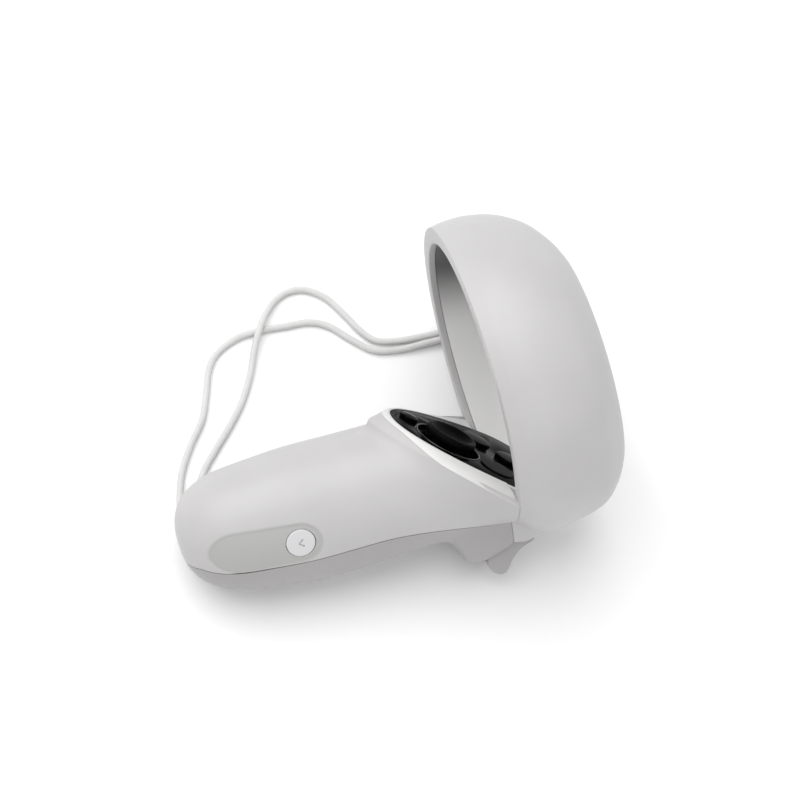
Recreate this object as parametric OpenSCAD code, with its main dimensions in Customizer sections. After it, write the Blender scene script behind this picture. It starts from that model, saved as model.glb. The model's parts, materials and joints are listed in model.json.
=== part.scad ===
// VR motion controller for the right hand: a handle, a tracking ring and a wrist strap.
// Shapes are drawn in the grip frame: +X runs forward from the butt through the ring's axis,
// +Y is the fingertip side, +Z is the thumb side, and the ring's rear rim is the plane X = 0.
// placed() then turns the grip frame onto the table that the controller leans on.

/* [Ring] */
// Radius of the ring's outer crease at its rear rim
ring_r = 41.5; // [40.5:0.5:42.5]
// Width of the ring along its axis
ring_w = 32; // [31:0.5:33]
// Inner radius of the ring's rear rim
rim_r = 37; // [36.5:0.25:37.25]
// Wall of the ring's outer shell
ring_wall = 1.8; // [1.6:0.1:2.0]
// Infrared emitters around the ring
led_count = 16; // [12:1:18]

/* [Handle] */
// Distance from the ring's rear rim back to the end of the butt
handle_l = 88.6; // [88:0.1:89]
// Wall of the handle's two shells
wall = 1.8; // [1.6:0.1:2.0]
// Angle of the seam below the side of the handle
seam_angle = 23; // [22:1:24]
// Gap between two shells that part
seam_gap = 0.15; // [0.1:0.05:0.2]

/* [Face] */
// Tilt of the thumb face down towards the ring
face_tilt = 40; // [39:0.5:41]
// Half-width of the black face plate
plate_w = 20; // [19:0.25:20.5]
// Thickness of the black face plate
plate_t = 1.6; // [1.4:0.1:1.8]
// Diameter of the thumbstick's cap
cap_d = 14.5; // [13.5:0.25:15]
// Diameter of the A and B buttons
button_d = 8.4; // [8:0.1:8.6]

/* [Trigger and grip button] */
// Width of the trigger
trigger_w = 13; // [12:0.25:13.2]
// Diameter of the two pivot pins
pin_d = 2.4; // [2.2:0.1:2.6]
// Length of the grip button
grip_l = 22; // [20:0.5:23]

/* [Strap] */
// Diameter of the wrist cord
cord_d = 1.9; // [1.8:0.05:2]

/* [Hidden] */
$fn = 64;

// Rest on the table: the side of the ring, the butt and the trigger's tip touch it.
rest_roll = 47.7;
rest_pitch = 9.2;
rest_shift = [24.07, 2.4, 44.14];

// Outer radius and centre height of the ring's round sections, from the rear rim forward
ring_radii = [[0, ring_r], [4, 43.4], [10, 44.5], [17, 43.3], [22, 41.6], [26, 39.2],
              [30, 34.6], [ring_w, 31]];
ring_drop = [[0, 0], [4, -1.4], [10, -2.6], [17, -3], [22, -3.8], [26, -4.5], [30, -5],
             [ring_w, -5.2]];
bore_radii = [[0, rim_r], [10, 36.4], [20, 33.8], [26, 31.2], [ring_w, 29]];

// Handle sections: height of the centre, half-width and half-height
section_z = [[-90, -23], [-72, -24], [-55, -25], [-40, -25.4], [-30, -25.3], [0, -25.3]];
section_w = [[-90, 15], [-72, 16.2], [-55, 17.2], [-40, 17.2], [-30, 17.6], [0, 19]];
section_h = [[-90, 16], [-72, 17], [-55, 18.8], [-40, 18.7], [-30, 18.2], [0, 18.2]];
section_power = 2.15;
body_gap = 0.1;
body_sides = 56;
ring_sides = 60;
butt_l = 20;
butt_power = 2.5;
flare_l = 27;
flare_power = 2.8;

// Guard around the trigger: how far it stands out below the body, along the handle
guard_depth = [[-22, 0], [-17, 1.5], [-14, 7.5], [-12, 9.5], [-8.5, 9.8], [-5, 9.3], [0, 8],
               [4, 5.5], [8, 2.5], [12, 1], [16, 0], [40, 0]];
guard_flat = 7.5;
guard_fade = 5.5;

// Face: the plate lies in the plane at this distance from the ring's centre
face_h = -19;
bevel_tilt = 37;
bevel_h = -21.3;
stick_at = [2, -3];
button_a_at = [14, 9];
button_b_at = [23, 2.5];
menu_at = [-8.5, 4.5];
thumb_rest_at = [15.6, -9.8];
well_d = 19.2;
cap_top = 3;
stick_pivot = -7;
button_rise = 1.1;
fit = 0.2;

// Trigger and grip button
trigger_pivot = [-3, 0, -40];
grip_x = -35;
grip_angle = -52;
disc_x = -57.4;
disc_angle = 182;
disc_r = 4;

// Cell and its cradle
cell_r = 7.25;
cell_l = 50.5;
cell_x = -79.6;
cell_z = -24.4;
screw_at = [-66, -36];

// Wrist cord, on the table: where its ends leave the butt, and the way they leave it
strap_out = [-56.8, -14.8, 5.9];
strap_in = [-52.8, -14.1, 3.2];
strap_way = [0.05, 0.87, -0.49];
// Straight run that the cord lock slides along
run_y = [29.6, 31.8];
run_z = 1.9;
lock_x = 33.5;
lock_size = [11, 8.6, 3.6];
route = [
    strap_out - 4 * strap_way, strap_out, [-56.6, -10.6, 3.4], [-56.2, -6.4, 1.5],
    [-55.3, -2, 1], [-53.6, 4, 1], [-51.2, 9.8, 1], [-46.6, 16.8, 1], [-41.6, 23, 1],
    [-38.4, 30, 1], [-35.2, 37.6, 1], [-31, 42, 1], [-24, 44.8, 1], [-17, 45.2, 1],
    [-10, 44.8, 1], [-3.4, 44.4, 1], [2, 41.8, 1], [7, 36.4, 1], [12.6, 31.4, 1], [20, 29.8, 1.1],
    [28, run_y[0], run_z], [39, run_y[0], run_z], [49, run_y[0], 1.6], [52.4, 28.2, 1.1],
    [56, 26.3, 1], [59.8, 28.5, 1], [59.8, 32.9, 1], [56, 35.1, 1], [52.4, 33.2, 1.1],
    [49, run_y[1], 1.6], [39, run_y[1], run_z], [28, run_y[1], run_z], [20, 32.6, 1.1],
    [14, 34.2, 1], [10.4, 38.4, 1], [7.6, 44, 1], [3.4, 51, 1], [-2.6, 54.8, 1], [-9, 54.2, 1.1],
    [-14.6, 49.8, 2], [-18.6, 44.4, 3.1], [-21.4, 39.4, 2], [-24.6, 32.6, 1.1], [-29, 25.6, 1],
    [-34, 19.8, 1], [-40.4, 13.4, 1], [-45, 8.6, 1], [-49, 2.4, 1], [-51.6, -4, 1],
    [-52.4, -9, 1.2], strap_in, strap_in - 4 * strap_way
];

function smooth(t) = let (u = min(1, max(0, t))) u * u * (3 - 2 * u);

// Smooth curve through a table of [position, value]
function curve(t, tab) =
    let (last = len(tab) - 1,
         x = min(tab[last][0], max(tab[0][0], t)),
         i = min(last - 1, max([for (k = [0:last]) x >= tab[k][0] ? k : 0])),
         h = tab[i + 1][0] - tab[i][0],
         u = (x - tab[i][0]) / h,
         a = slope(i, tab) * h,
         b = slope(i + 1, tab) * h)
    (2 * u ^ 3 - 3 * u ^ 2 + 1) * tab[i][1] + (u ^ 3 - 2 * u ^ 2 + u) * a
    + (3 * u ^ 2 - 2 * u ^ 3) * tab[i + 1][1] + (u ^ 3 - u ^ 2) * b;

function slope(k, tab) =
    let (lo = max(0, k - 1), hi = min(len(tab) - 1, k + 1))
    (tab[hi][1] - tab[lo][1]) / (tab[hi][0] - tab[lo][0]);

// Distance from [0, z] to a circle of radius r about [0, c], in direction a
function circle_reach(z, c, r, a) =
    let (o = z - c, s = o * sin(a)) -s + sqrt(s * s - o * o + r * r);

function handle_reach(x, a) =
    let (into = max(0, (butt_l - handle_l - x) / butt_l),
         butt = max(0, 1 - into ^ butt_power) ^ (1 / butt_power),
         w = curve(x, section_w),
         h = curve(x, section_h),
         p = section_power)
    butt / ((abs(cos(a)) / w) ^ p + (abs(sin(a)) / h) ^ p) ^ (1 / p);

// How far the body reaches from its centre line at x, in direction a
function body_reach(x, a) =
    let (m = min(1, max(0, 1 + x / flare_l)) ^ flare_power,
         z = curve(x, section_z))
    (1 - m) * handle_reach(x, a) + m * circle_reach(z, 0, ring_r, a);

// Points below the body are pushed down to form the trigger guard
function guarded(p) =
    p[2] > -30 ? p
    : p - [0, 0, curve(p[0], guard_depth) * (1 - smooth((abs(p[1]) - guard_flat) / guard_fade))];

function body_point(x, a, inset) =
    let (reach = body_reach(x, a),
         r = reach - inset * min(1, reach / 8),
         deep = x + inset * -x / handle_l)
    guarded([deep, r * cos(a), curve(x, section_z) + r * sin(a)]);

// Stations along the body, closer together around the butt
stations = [for (q = [2, 15, 30, 45, 60, 75]) -handle_l + butt_l * (1 - cos(q)),
            for (k = [0:14]) -handle_l + butt_l + k * (handle_l - butt_l - body_gap) / 14];
angles = [for (k = [0:body_sides - 1]) k * 360 / body_sides];

// Height of the seam between the palm cover and the lower shell
function seam_z(x) =
    let (a = -seam_angle - 15 * smooth((x + 38) / 38))
    curve(x, section_z) + body_reach(max(x, 4 - handle_l), a) * sin(a);

// Closed solid over a list of point rings; the ends get flat caps, or join each other
module skin(rings, joined = false) {
    n = len(rings[0]);
    m = len(rings);
    last = joined ? m - 1 : m - 2;
    sides = [for (i = [0:last]) for (k = [0:n - 1])
        let (p = i * n, q = ((i + 1) % m) * n, l = (k + 1) % n)
        each [[p + k, p + l, q + l], [p + k, q + l, q + k]]];
    ends = joined ? [] : [
        [for (k = [n - 1:-1:0]) k],
        [for (k = [0:n - 1]) (m - 1) * n + k]];
    polyhedron([for (r = rings) each r], concat(sides, ends));
}

// The handle's wall all round, from the butt to the ring
module handle_wall() {
    skin(concat(
        [for (x = stations) [for (a = angles) body_point(x, a, 0)]],
        [for (k = [len(stations) - 1:-1:0]) [for (a = angles) body_point(stations[k], a, wall)]]));
}

// Everything above the seam, or below it, less half of the gap
module beside_seam(above) {
    far = above ? 60 : -90;
    shift = above ? seam_gap / 2 : -seam_gap / 2;
    edge = [for (k = [0:18]) let (x = -92 + k * 5.2) [x, seam_z(x) + shift]];
    rotate([90, 0, 0]) linear_extrude(120, center = true)
        polygon(concat(edge, [[edge[18][0], far], [edge[0][0], far]]));
}

// Closed profile of [x, radius] swept around the ring's dropping centre line
module ring_sweep(profile, guard = false) {
    skin([for (k = [0:ring_sides - 1]) let (a = k * 360 / ring_sides)
        [for (p = profile)
            let (q = [p[0], p[1] * cos(a), curve(p[0], ring_drop) + p[1] * sin(a)])
            guard ? guarded(q) : q]], joined = true);
}

// Point at u from 0 to 1 on the smooth curve between route points i and i + 1
function route_point(i, u) =
    let (a = route[max(0, i - 1)], b = route[i], c = route[i + 1],
         d = route[min(len(route) - 1, i + 2)])
    0.5 * (2 * b + (c - a) * u + (2 * a - 5 * b + 4 * c - d) * u ^ 2
           + (3 * b - a - 3 * c + d) * u ^ 3);

route_steps = [for (i = [0:len(route) - 2]) max(1, round(norm(route[i + 1] - route[i]) / 5))];
cord_path = concat(
    [for (i = [0:len(route) - 2]) for (k = [0:route_steps[i] - 1])
        route_point(i, k / route_steps[i])],
    [route[len(route) - 1]]);

// Ring of eight points around the cord at step k of its path
function cord_ring(k) =
    let (ahead = cord_path[min(len(cord_path) - 1, k + 1)] - cord_path[max(0, k - 1)],
         way = ahead / norm(ahead),
         across = cross(way, [0, 0, 1]),
         side = across / norm(across),
         up = cross(side, way))
    [for (a = [22.5:45:359]) cord_path[k] + cord_d / 2 * (cos(a) * side + sin(a) * up)];

module placed() translate(rest_shift) rotate([-rest_roll, -rest_pitch, 0]) children();

// Puts a shape given on the table into the grip frame
module from_table() {
    rotate([rest_roll, 0, 0]) rotate([0, rest_pitch, 0]) translate(-rest_shift) children();
}

module on_face(h = 0) rotate([0, face_tilt, 0]) translate([0, 0, face_h + h]) children();

module on_bevel(h = 0) rotate([0, bevel_tilt, 0]) translate([0, 0, bevel_h + h]) children();

// Outline from a blunt rear tip, widest at one place, to a rounded front
function outline(rear, wide, front, w, p, k, steps = 20) =
    let (side = concat(
        [for (i = [0:steps]) let (u = cos(90 * i / steps))
            [wide - (wide - rear) * u, w * (1 - u ^ p) ^ k]],
        [for (i = [1:steps]) let (u = sin(90 * i / steps))
            [wide + (front - wide) * u, w * sqrt(1 - u ^ 2)]]))
    concat(side, [for (i = [len(side) - 2:-1:1]) [side[i][0], -side[i][1]]]);

function rear_part(points, s) = [for (p = points) if (p[0] < s) p];

plate_outline = outline(-15.2, 20, 35.2, plate_w, 1.45, 0.45);
collar_outline = outline(-21, 20, 46, 31.5, 1, 0.75);
board_outline = outline(-11, 8, 26, 12.5, 1.45, 0.45);
rim_outline = outline(-16, 20, 36.3, plate_w + 0.8, 1.45, 0.45);
lip_outline = outline(-15.9, 20, 36.8, plate_w + 0.7, 1.45, 0.45);
ledge_outline = outline(-13.6, 20, 34, plate_w - 1.4, 1.45, 0.45);
// The collar's rear, where it stands proud of the handle, and its gap in the palm cover
rear_outline = rear_part(outline(-20.8, 20, 46, 31.2, 1, 0.75), -11);
hump_outline = rear_part(outline(-21.2, 20, 46, 31.9, 1, 0.75, 28), -10.5);

// Stands a shape on the handle's wall at x, in direction a, with +Z along that direction
module on_wall(x, a) {
    translate([x, 0, curve(x, section_z)]) rotate([a - 90, 0, 0])
        translate([0, 0, body_reach(x, a)]) children();
}

module trigger_slot() translate([-13, -trigger_w / 2 - 0.3, -70]) cube([20.2, trigger_w + 0.6, 26]);

module strap_holes() from_table() for (p = [strap_out, strap_in])
    translate(p) orient(strap_way) cylinder(d = cord_d + 0.5, h = 12, center = true);

// Turns +Z to point along v
module orient(v) rotate([0, acos(v[2] / norm(v)), atan2(v[1], v[0])]) children();

module plate_slab(from, to) on_face(from) linear_extrude(to - from) children();

module palm_cover() {
    color("gainsboro") placed() difference() {
        intersection() {
            handle_wall();
            beside_seam(true);
        }
        on_bevel() translate([-70, -50, 0]) cube([140, 100, 60]);
        on_bevel(-6) linear_extrude(10) polygon(hump_outline);
        on_wall(disc_x, disc_angle) cylinder(r = disc_r + fit, h = 12, center = true);
    }
}

module lower_shell() {
    color("lightgray") placed() difference() {
        intersection() {
            handle_wall();
            beside_seam(false);
        }
        trigger_slot();
        on_wall(grip_x, grip_angle) cube([grip_l + 0.6, 8.2, 20], center = true);
        strap_holes();
        for (x = screw_at) translate([x, 0, -50]) cylinder(d = 4, h = 20);
    }
}

module face_collar() {
    color("whitesmoke") placed() difference() {
        union() {
            difference() {
                hull() {
                    on_bevel(0.1) linear_extrude(0.3) polygon(collar_outline);
                    on_face(-0.4) linear_extrude(0.4) polygon(rim_outline);
                }
                translate([-body_gap, -60, -60]) cube(120);
            }
            on_bevel(-5.8) linear_extrude(6) polygon(rear_outline);
            intersection() {
                plate_slab(-2.5, -0.05) polygon(lip_outline);
                translate([-40, 0, -2.8]) rotate([0, 90, 0]) cylinder(r = 35.2, h = 60);
            }
        }
        plate_slab(-plate_t - 0.01, 3) polygon(plate_outline);
        plate_slab(-12, 0) polygon(ledge_outline);
    }
}

module face_plate() {
    color("black") placed() difference() {
        plate_slab(-plate_t, 0) polygon(outline(-15.1, 20, 35.1, plate_w - 0.1, 1.45, 0.45));
        on_face() {
            translate(stick_at) cylinder(d = well_d, h = 10, center = true);
            for (p = [button_a_at, button_b_at])
                translate(p) cylinder(d = button_d + 2 * fit, h = 10, center = true);
            translate(menu_at) cylinder(d = 5.2 + 2 * fit, h = 10, center = true);
        }
    }
}

module ring_outer_shell() {
    outside = [for (x = [0, 1.5, 4, 7, 10, 14, 18, 22, 25, 28, 30, ring_w])
        [x, curve(x, ring_radii)]];
    inside = [for (x = [29.6, 27, 24, 20, 16, 12, 8, 4, ring_wall])
        [x, curve(x, ring_radii) - ring_wall]];
    color("gainsboro") placed() difference() {
        ring_sweep(concat(outside, [[ring_w, 29], [30.2, 29.3]], inside,
            [[ring_wall, rim_r], [0, rim_r]]), guard = true);
        trigger_slot();
    }
}

module ring_inner_shell() {
    xs = [2, 6, 10, 15, 20, 25, 29.9];
    color("silver") placed() ring_sweep(concat(
        [for (x = xs) [x, curve(x, bore_radii)]],
        [for (k = [len(xs) - 1:-1:0]) [xs[k], curve(xs[k], bore_radii) + (k == 6 ? 0.6 : 1.4)]]));
}

module led_flex() {
    color("darkgoldenrod") placed() ring_sweep([
        [6, curve(6, bore_radii) + 1.8], [13, curve(13, bore_radii) + 1.8],
        [20, curve(20, bore_radii) + 1.8], [20, curve(20, bore_radii) + 2.1],
        [13, curve(13, bore_radii) + 2.1], [6, curve(6, bore_radii) + 2.1]]);
}

module led_emitters() {
    color("indigo") placed() for (k = [0:led_count - 1]) {
        x = k % 2 == 0 ? 9 : 17;
        translate([x, 0, curve(x, ring_drop)]) rotate([k * 360 / led_count, 0, 0])
            translate([0, 0, curve(x, bore_radii) + 2.5]) cylinder(d = 2.4, h = 1.6);
    }
}

module chassis() {
    color("dimgray") placed() difference() {
        union() {
            difference() {
                union() {
                    along_x(-83.2) cylinder(r1 = cell_r - 0.7, r2 = cell_r + 1.2, h = 1.6);
                    along_x(-81.6) cylinder(r = cell_r + 1.2, h = 54.6);
                }
                along_x(-82) cylinder(r = cell_r + 0.15, h = 53.4);
                translate([-90, -20, cell_z + 1]) cube([70, 40, 20]);
            }
            for (s = [-1, 1]) translate([-66, s * 8.35 - 0.6, cell_z]) cube([32, 1.2, 10]);
            for (x = screw_at) translate([x, 0, -38.5]) cylinder(d = 5, h = 6);
            translate([-28.5, -6.2, -36.5]) cube([1.6, 12.4, 8]);
            translate([-28.5, -6.2, -36.5]) cube([29.5, 12.4, 2]);
            for (s = [-1, 1]) translate([-7, s * 5.4 - 0.8, -43.8]) cube([8, 1.6, 8]);
        }
        translate(trigger_pivot) rotate([90, 0, 0]) cylinder(d = pin_d, h = 30, center = true);
        translate([trigger_pivot[0] - 4.6, -4.6, -50]) cube([12, 9.2, 16]);
        for (x = screw_at) translate([x, 0, -40]) cylinder(d = 1.8, h = 6);
    }
}

module along_x(from) translate([from, 0, cell_z]) rotate([0, 90, 0]) children();

module main_board() {
    color("darkgreen") placed() translate([-66, 0, -14.4]) {
        translate([0, -9.2, 0]) cube([32, 18.4, 1]);
        translate([5, -4, 1]) cube([7, 7, 0.9]);
        translate([17, -3, 1]) cube([5, 5, 0.8]);
        for (k = [0:4]) translate([6 + 5 * k, 5, 1]) cube([1.6, 0.8, 0.6]);
        translate([28, -4, 1]) cube([3, 8, 1.6]);
    }
}

module control_board() {
    color("darkgreen") placed() on_face(-6.4) linear_extrude(1) difference() {
        polygon(board_outline);
        translate(stick_at) square(13.6, center = true);
    }
}

module button_membrane() {
    color("slategray") placed() on_face(-5.4) linear_extrude(1.6) difference() {
        polygon(outline(-10.4, 8, 25.4, 11.9, 1.45, 0.45));
        translate(stick_at) circle(d = well_d + 1);
    }
}

module aa_cell() {
    color("steelblue") placed() {
        along_x(cell_x) cylinder(r = cell_r, h = cell_l - 1.4);
        along_x(cell_x) cylinder(r = 2.7, h = cell_l);
    }
}

module battery_spring() {
    color("silver") placed() along_x(-82) difference() {
        cylinder(r = 3.6, h = 2.4);
        translate([0, 0, -1]) cylinder(r = 2.6, h = 5);
    }
}

module battery_contact() {
    color("silver") placed() along_x(cell_x + cell_l) cylinder(r = 3.4, h = 0.5);
}

module haptic_motor() color("gray") placed() translate([-21.5, 0, -34.5]) cylinder(d = 10, h = 3);

module stick_base() {
    color("darkslategray") placed() on_face(-13) translate(stick_at) difference() {
        translate([-6.5, -6.5, 0]) cube([13, 13, 8]);
        translate([-5.1, -5.1, 1.2]) cube([10.2, 10.2, 8]);
        translate([0, 0, 13 + stick_pivot]) rotate([90, 0, 0]) cylinder(d = 1.7, h = 20, center = true);
    }
}

module stick_yoke() {
    color("gray") placed() on_face(stick_pivot) translate(stick_at) difference() {
        union() {
            translate([-4.2, -4.2, -1.2]) cube([8.4, 8.4, 2.4]);
            rotate([90, 0, 0]) cylinder(d = 1.6, h = 12.6, center = true);
        }
        translate([-3, -3, -3]) cube([6, 6, 6]);
        rotate([0, 90, 0]) cylinder(d = 1.5, h = 20, center = true);
    }
}

module stick_stem() {
    color("gray") placed() on_face(stick_pivot) translate(stick_at) {
        translate([0, 0, -1.6]) cylinder(d = 4, h = 9.2);
        rotate([0, 90, 0]) cylinder(d = 1.4, h = 8.2, center = true);
    }
}

module stick_cap() {
    color("black") placed() on_face(0) translate(stick_at) difference() {
        union() {
            translate([0, 0, 0.6]) cylinder(d = cap_d, h = cap_top - 0.6);
            translate([0, 0, -1.6]) cylinder(d = 6, h = 3);
        }
        translate([0, 0, -3]) cylinder(d = 4.2, h = 4.3);
        translate([0, 0, cap_top + 13]) sphere(r = 13.8);
    }
}

module stick_boot() {
    color("black") placed() on_face(-3.6) translate(stick_at) difference() {
        cylinder(d = well_d - 0.2, h = 0.8);
        translate([0, 0, -1]) cylinder(d = 9.4, h = 3);
    }
}

module thumb_button(at, d) {
    placed() on_face() translate(at) {
        translate([0, 0, -2]) cylinder(d = d, h = 2 + button_rise);
        translate([0, 0, -2.7]) cylinder(d = d + 1.2, h = 0.8);
    }
}

module button_a() color("black") thumb_button(button_a_at, button_d);

module button_b() color("black") thumb_button(button_b_at, button_d);

module menu_button() color("black") thumb_button(menu_at, 5.2);

module thumb_rest() color("dimgray") placed() on_face() translate(thumb_rest_at)
    cylinder(d = 10, h = 0.5);

module trigger() {
    fin = [[-6, -44.5], [-7.9, -50], [-8.3, -54.5], [-6.5, -57.5], [-5.2, -58.05], [-3.8, -58.05],
           [-2.6, -57], [-0.5, -54], [2.5, -51.8], [6.3, -50.5], [6.3, -49.3], [2, -47.8],
           [-0.5, -44.5]];
    web = [[-5.8, -40.5], [-6.5, -46], [1.2, -46], [-0.2, -40.5]];
    color("gray") placed() difference() {
        union() {
            rotate([90, 0, 0]) linear_extrude(trigger_w, center = true) polygon(fin);
            rotate([90, 0, 0]) linear_extrude(8, center = true) polygon(web);
            translate(trigger_pivot) rotate([90, 0, 0]) cylinder(d = 6, h = 8, center = true);
        }
        translate(trigger_pivot) rotate([90, 0, 0])
            cylinder(d = pin_d + 0.1, h = 30, center = true);
    }
}

module trigger_pin() color("silver") placed() translate(trigger_pivot) rotate([90, 0, 0])
    cylinder(d = pin_d, h = 16.4, center = true);

module trigger_spring() {
    color("silver") placed() translate(trigger_pivot + [0, -6.4, 0]) rotate([90, 0, 0])
        difference() {
            cylinder(d = 4.8, h = 1.6);
            translate([0, 0, -1]) cylinder(d = pin_d + 0.4, h = 5);
        }
}

module grip_bore(d) translate([grip_l / 2 - 1.7, 0, -3.4]) rotate([90, 0, 0])
    cylinder(d = d, h = 11.6, center = true);

module grip_button() {
    color("gray") placed() on_wall(grip_x, grip_angle) difference() {
        union() {
            translate([-grip_l / 2, -3.8, -1.8]) cube([grip_l, 7.6, 2.3]);
            translate([grip_l / 2 - 1.7, 0, -3.4]) rotate([90, 0, 0])
                cylinder(d = 4.4, h = 7.4, center = true);
        }
        grip_bore(pin_d + 0.1);
    }
}

module grip_bracket() {
    color("dimgray") placed() on_wall(grip_x, grip_angle) difference() {
        for (s = [-1, 1]) translate([grip_l / 2 - 3.7, s * 4.9 - 0.8, -5.6]) cube([4.4, 1.6, 3.6]);
        grip_bore(pin_d);
    }
}

module grip_pin() color("silver") placed() on_wall(grip_x, grip_angle) grip_bore(pin_d);

module grip_spring() {
    color("silver") placed() on_wall(grip_x, grip_angle) translate([-6, 0, -8.4]) difference() {
        cylinder(d = 3.6, h = 4);
        translate([0, 0, -1]) cylinder(d = 2.6, h = 8);
    }
}

module release_disc() {
    color("white") placed() on_wall(disc_x, disc_angle) {
        translate([0, 0, -3]) cylinder(r = disc_r, h = 2.7);
        translate([0, 0, -3.8]) cylinder(r = disc_r + 0.8, h = 1);
    }
}

module shell_screws() {
    color("dimgray") placed() for (x = screw_at) translate([x, 0, -41.2 + (x + 66) * -0.05]) {
        cylinder(d = 1.8, h = 6.6);
        cylinder(d = 3.6, h = 0.7);
    }
}

module strap_bar() {
    middle = (strap_out + strap_in) / 2 - 4.4 * strap_way;
    color("gray") placed() from_table() translate(middle) orient([4, 0.7, -2.7])
        cylinder(d = 2.2, h = 7, center = true);
}

module strap_cord() color("gainsboro") skin([for (k = [0:len(cord_path) - 1]) cord_ring(k)]);

module cord_lock() {
    color("silver") translate([lock_x, (run_y[0] + run_y[1]) / 2, run_z]) difference() {
        translate([0, -lock_size[1] / 2, -lock_size[2] / 2]) cube(lock_size);
        translate([-1, -2.4, -1.25]) cube([lock_size[0] + 2, 4.8, 2.5]);
        translate([lock_size[0] / 2, 2.9, 0]) rotate([-90, 0, 0]) cylinder(d = 2.4, h = 4);
    }
}

module lock_button() {
    color("gray") translate([lock_x + lock_size[0] / 2, (run_y[0] + run_y[1]) / 2, run_z])
        translate([0, 4, 0]) rotate([-90, 0, 0]) cylinder(d = 2.3, h = 2.6);
}

palm_cover();
lower_shell();
face_collar();
face_plate();
ring_outer_shell();
ring_inner_shell();
led_flex();
led_emitters();
chassis();
main_board();
control_board();
aa_cell();
battery_spring();
battery_contact();
haptic_motor();
stick_base();
stick_yoke();
stick_stem();
stick_cap();
stick_boot();
button_a();
button_b();
menu_button();
button_membrane();
thumb_rest();
trigger();
trigger_pin();
trigger_spring();
grip_button();
grip_bracket();
grip_pin();
grip_spring();
release_disc();
shell_screws();
strap_bar();
strap_cord();
cord_lock();
lock_button();
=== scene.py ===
"""Looks of the VR motion controller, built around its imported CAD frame.

Shapes are worked out in millimetres in the grip frame: +X from the butt through the ring's axis,
+Z towards the thumb, and the ring's rear rim in the plane X = 0. row() puts them on the table.
"""
import json
import math

import bmesh
import bpy
import numpy as np
from mathutils import Matrix, Vector


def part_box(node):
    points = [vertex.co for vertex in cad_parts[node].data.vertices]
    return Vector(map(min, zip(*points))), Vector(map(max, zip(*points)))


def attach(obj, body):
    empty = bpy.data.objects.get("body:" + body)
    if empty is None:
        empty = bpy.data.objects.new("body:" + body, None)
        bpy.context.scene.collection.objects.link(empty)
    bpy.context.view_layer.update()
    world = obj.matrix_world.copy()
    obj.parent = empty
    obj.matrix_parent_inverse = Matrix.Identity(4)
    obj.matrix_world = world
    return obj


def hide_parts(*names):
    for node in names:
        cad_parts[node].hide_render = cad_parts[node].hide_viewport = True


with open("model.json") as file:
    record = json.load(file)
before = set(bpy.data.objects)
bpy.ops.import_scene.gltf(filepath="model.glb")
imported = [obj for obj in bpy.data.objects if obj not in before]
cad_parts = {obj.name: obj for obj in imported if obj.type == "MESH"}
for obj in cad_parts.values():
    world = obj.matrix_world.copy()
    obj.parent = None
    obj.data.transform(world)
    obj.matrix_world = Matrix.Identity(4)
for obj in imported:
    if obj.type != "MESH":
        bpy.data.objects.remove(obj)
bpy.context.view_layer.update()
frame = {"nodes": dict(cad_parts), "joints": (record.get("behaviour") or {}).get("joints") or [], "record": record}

MM = 0.001
ROOT = "frame"
joints = {j["name"]: j for j in frame["joints"]}
mounts = {m["name"]: m for m in frame["record"]["mounts"]}


def unit(v):
    v = np.array(v, float)
    return v / np.linalg.norm(v)


# The grip frame, from the ring's axis and the trigger's pivot in the record
ALONG = unit(mounts["ring_front"]["axis"])
ACROSS = unit(joints["trigger_pull"]["axis"])
GRIP_AXES = np.column_stack([ALONG, ACROSS, np.cross(ALONG, ACROSS)])
TRIGGER_PIVOT = np.array([-3, 0, -40.0])
ORIGIN = np.array(joints["trigger_pull"]["pos_m"]) - GRIP_AXES @ TRIGGER_PIVOT * MM


def row(points):
    """Grip frame in mm to row frame in metres."""
    return np.asarray(points, float) * MM @ GRIP_AXES.T + ORIGIN


# ---------------------------------------------------------------- camera

LOOK_AT = np.array([-20.4, 0, -1.1])
LOOK_FROM = 700
PIXELS_PER_MM = 3.7
AZIMUTH, ELEVATION, ROLL = (math.radians(a) for a in (7, 24, -13.7))
PICTURE = 800
SENSOR = 36


def make_camera():
    back = np.array([
        -math.sin(AZIMUTH) * math.cos(ELEVATION),
        -math.cos(AZIMUTH) * math.cos(ELEVATION),
        math.sin(ELEVATION)])
    level = unit(np.cross([0, 0, 1], back))
    upright = np.cross(back, level)
    right = math.cos(ROLL) * level + math.sin(ROLL) * upright
    up = np.cross(back, right)
    data = bpy.data.cameras.new("camera")
    data.sensor_width = SENSOR
    data.lens = SENSOR * PIXELS_PER_MM * LOOK_FROM / PICTURE
    data.clip_start, data.clip_end = 0.01, 20
    camera = bpy.data.objects.new("camera", data)
    bpy.context.scene.collection.objects.link(camera)
    turn = Matrix((GRIP_AXES @ np.column_stack([right, up, back])).tolist())
    place = Vector(row(LOOK_AT + LOOK_FROM * back))
    camera.matrix_world = Matrix.Translation(place) @ turn.to_4x4()
    bpy.context.scene.camera = camera


make_camera()

# ---------------------------------------------------------------- materials


def noise(nodes, links, scale, detail=3.0, rough=0.5):
    where = nodes.new("ShaderNodeTexCoord")
    made = nodes.new("ShaderNodeTexNoise")
    made.inputs["Scale"].default_value = scale
    made.inputs["Detail"].default_value = detail
    made.inputs["Roughness"].default_value = rough
    links.new(where.outputs["Object"], made.inputs["Vector"])
    return made


def spread(nodes, links, source, low, high):
    """Maps a 0 to 1 value onto low to high."""
    made = nodes.new("ShaderNodeMapRange")
    made.inputs["From Min"].default_value = 0.3
    made.inputs["From Max"].default_value = 0.7
    made.inputs["To Min"].default_value = low
    made.inputs["To Max"].default_value = high
    links.new(source, made.inputs["Value"])
    return made.outputs["Result"]


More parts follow.
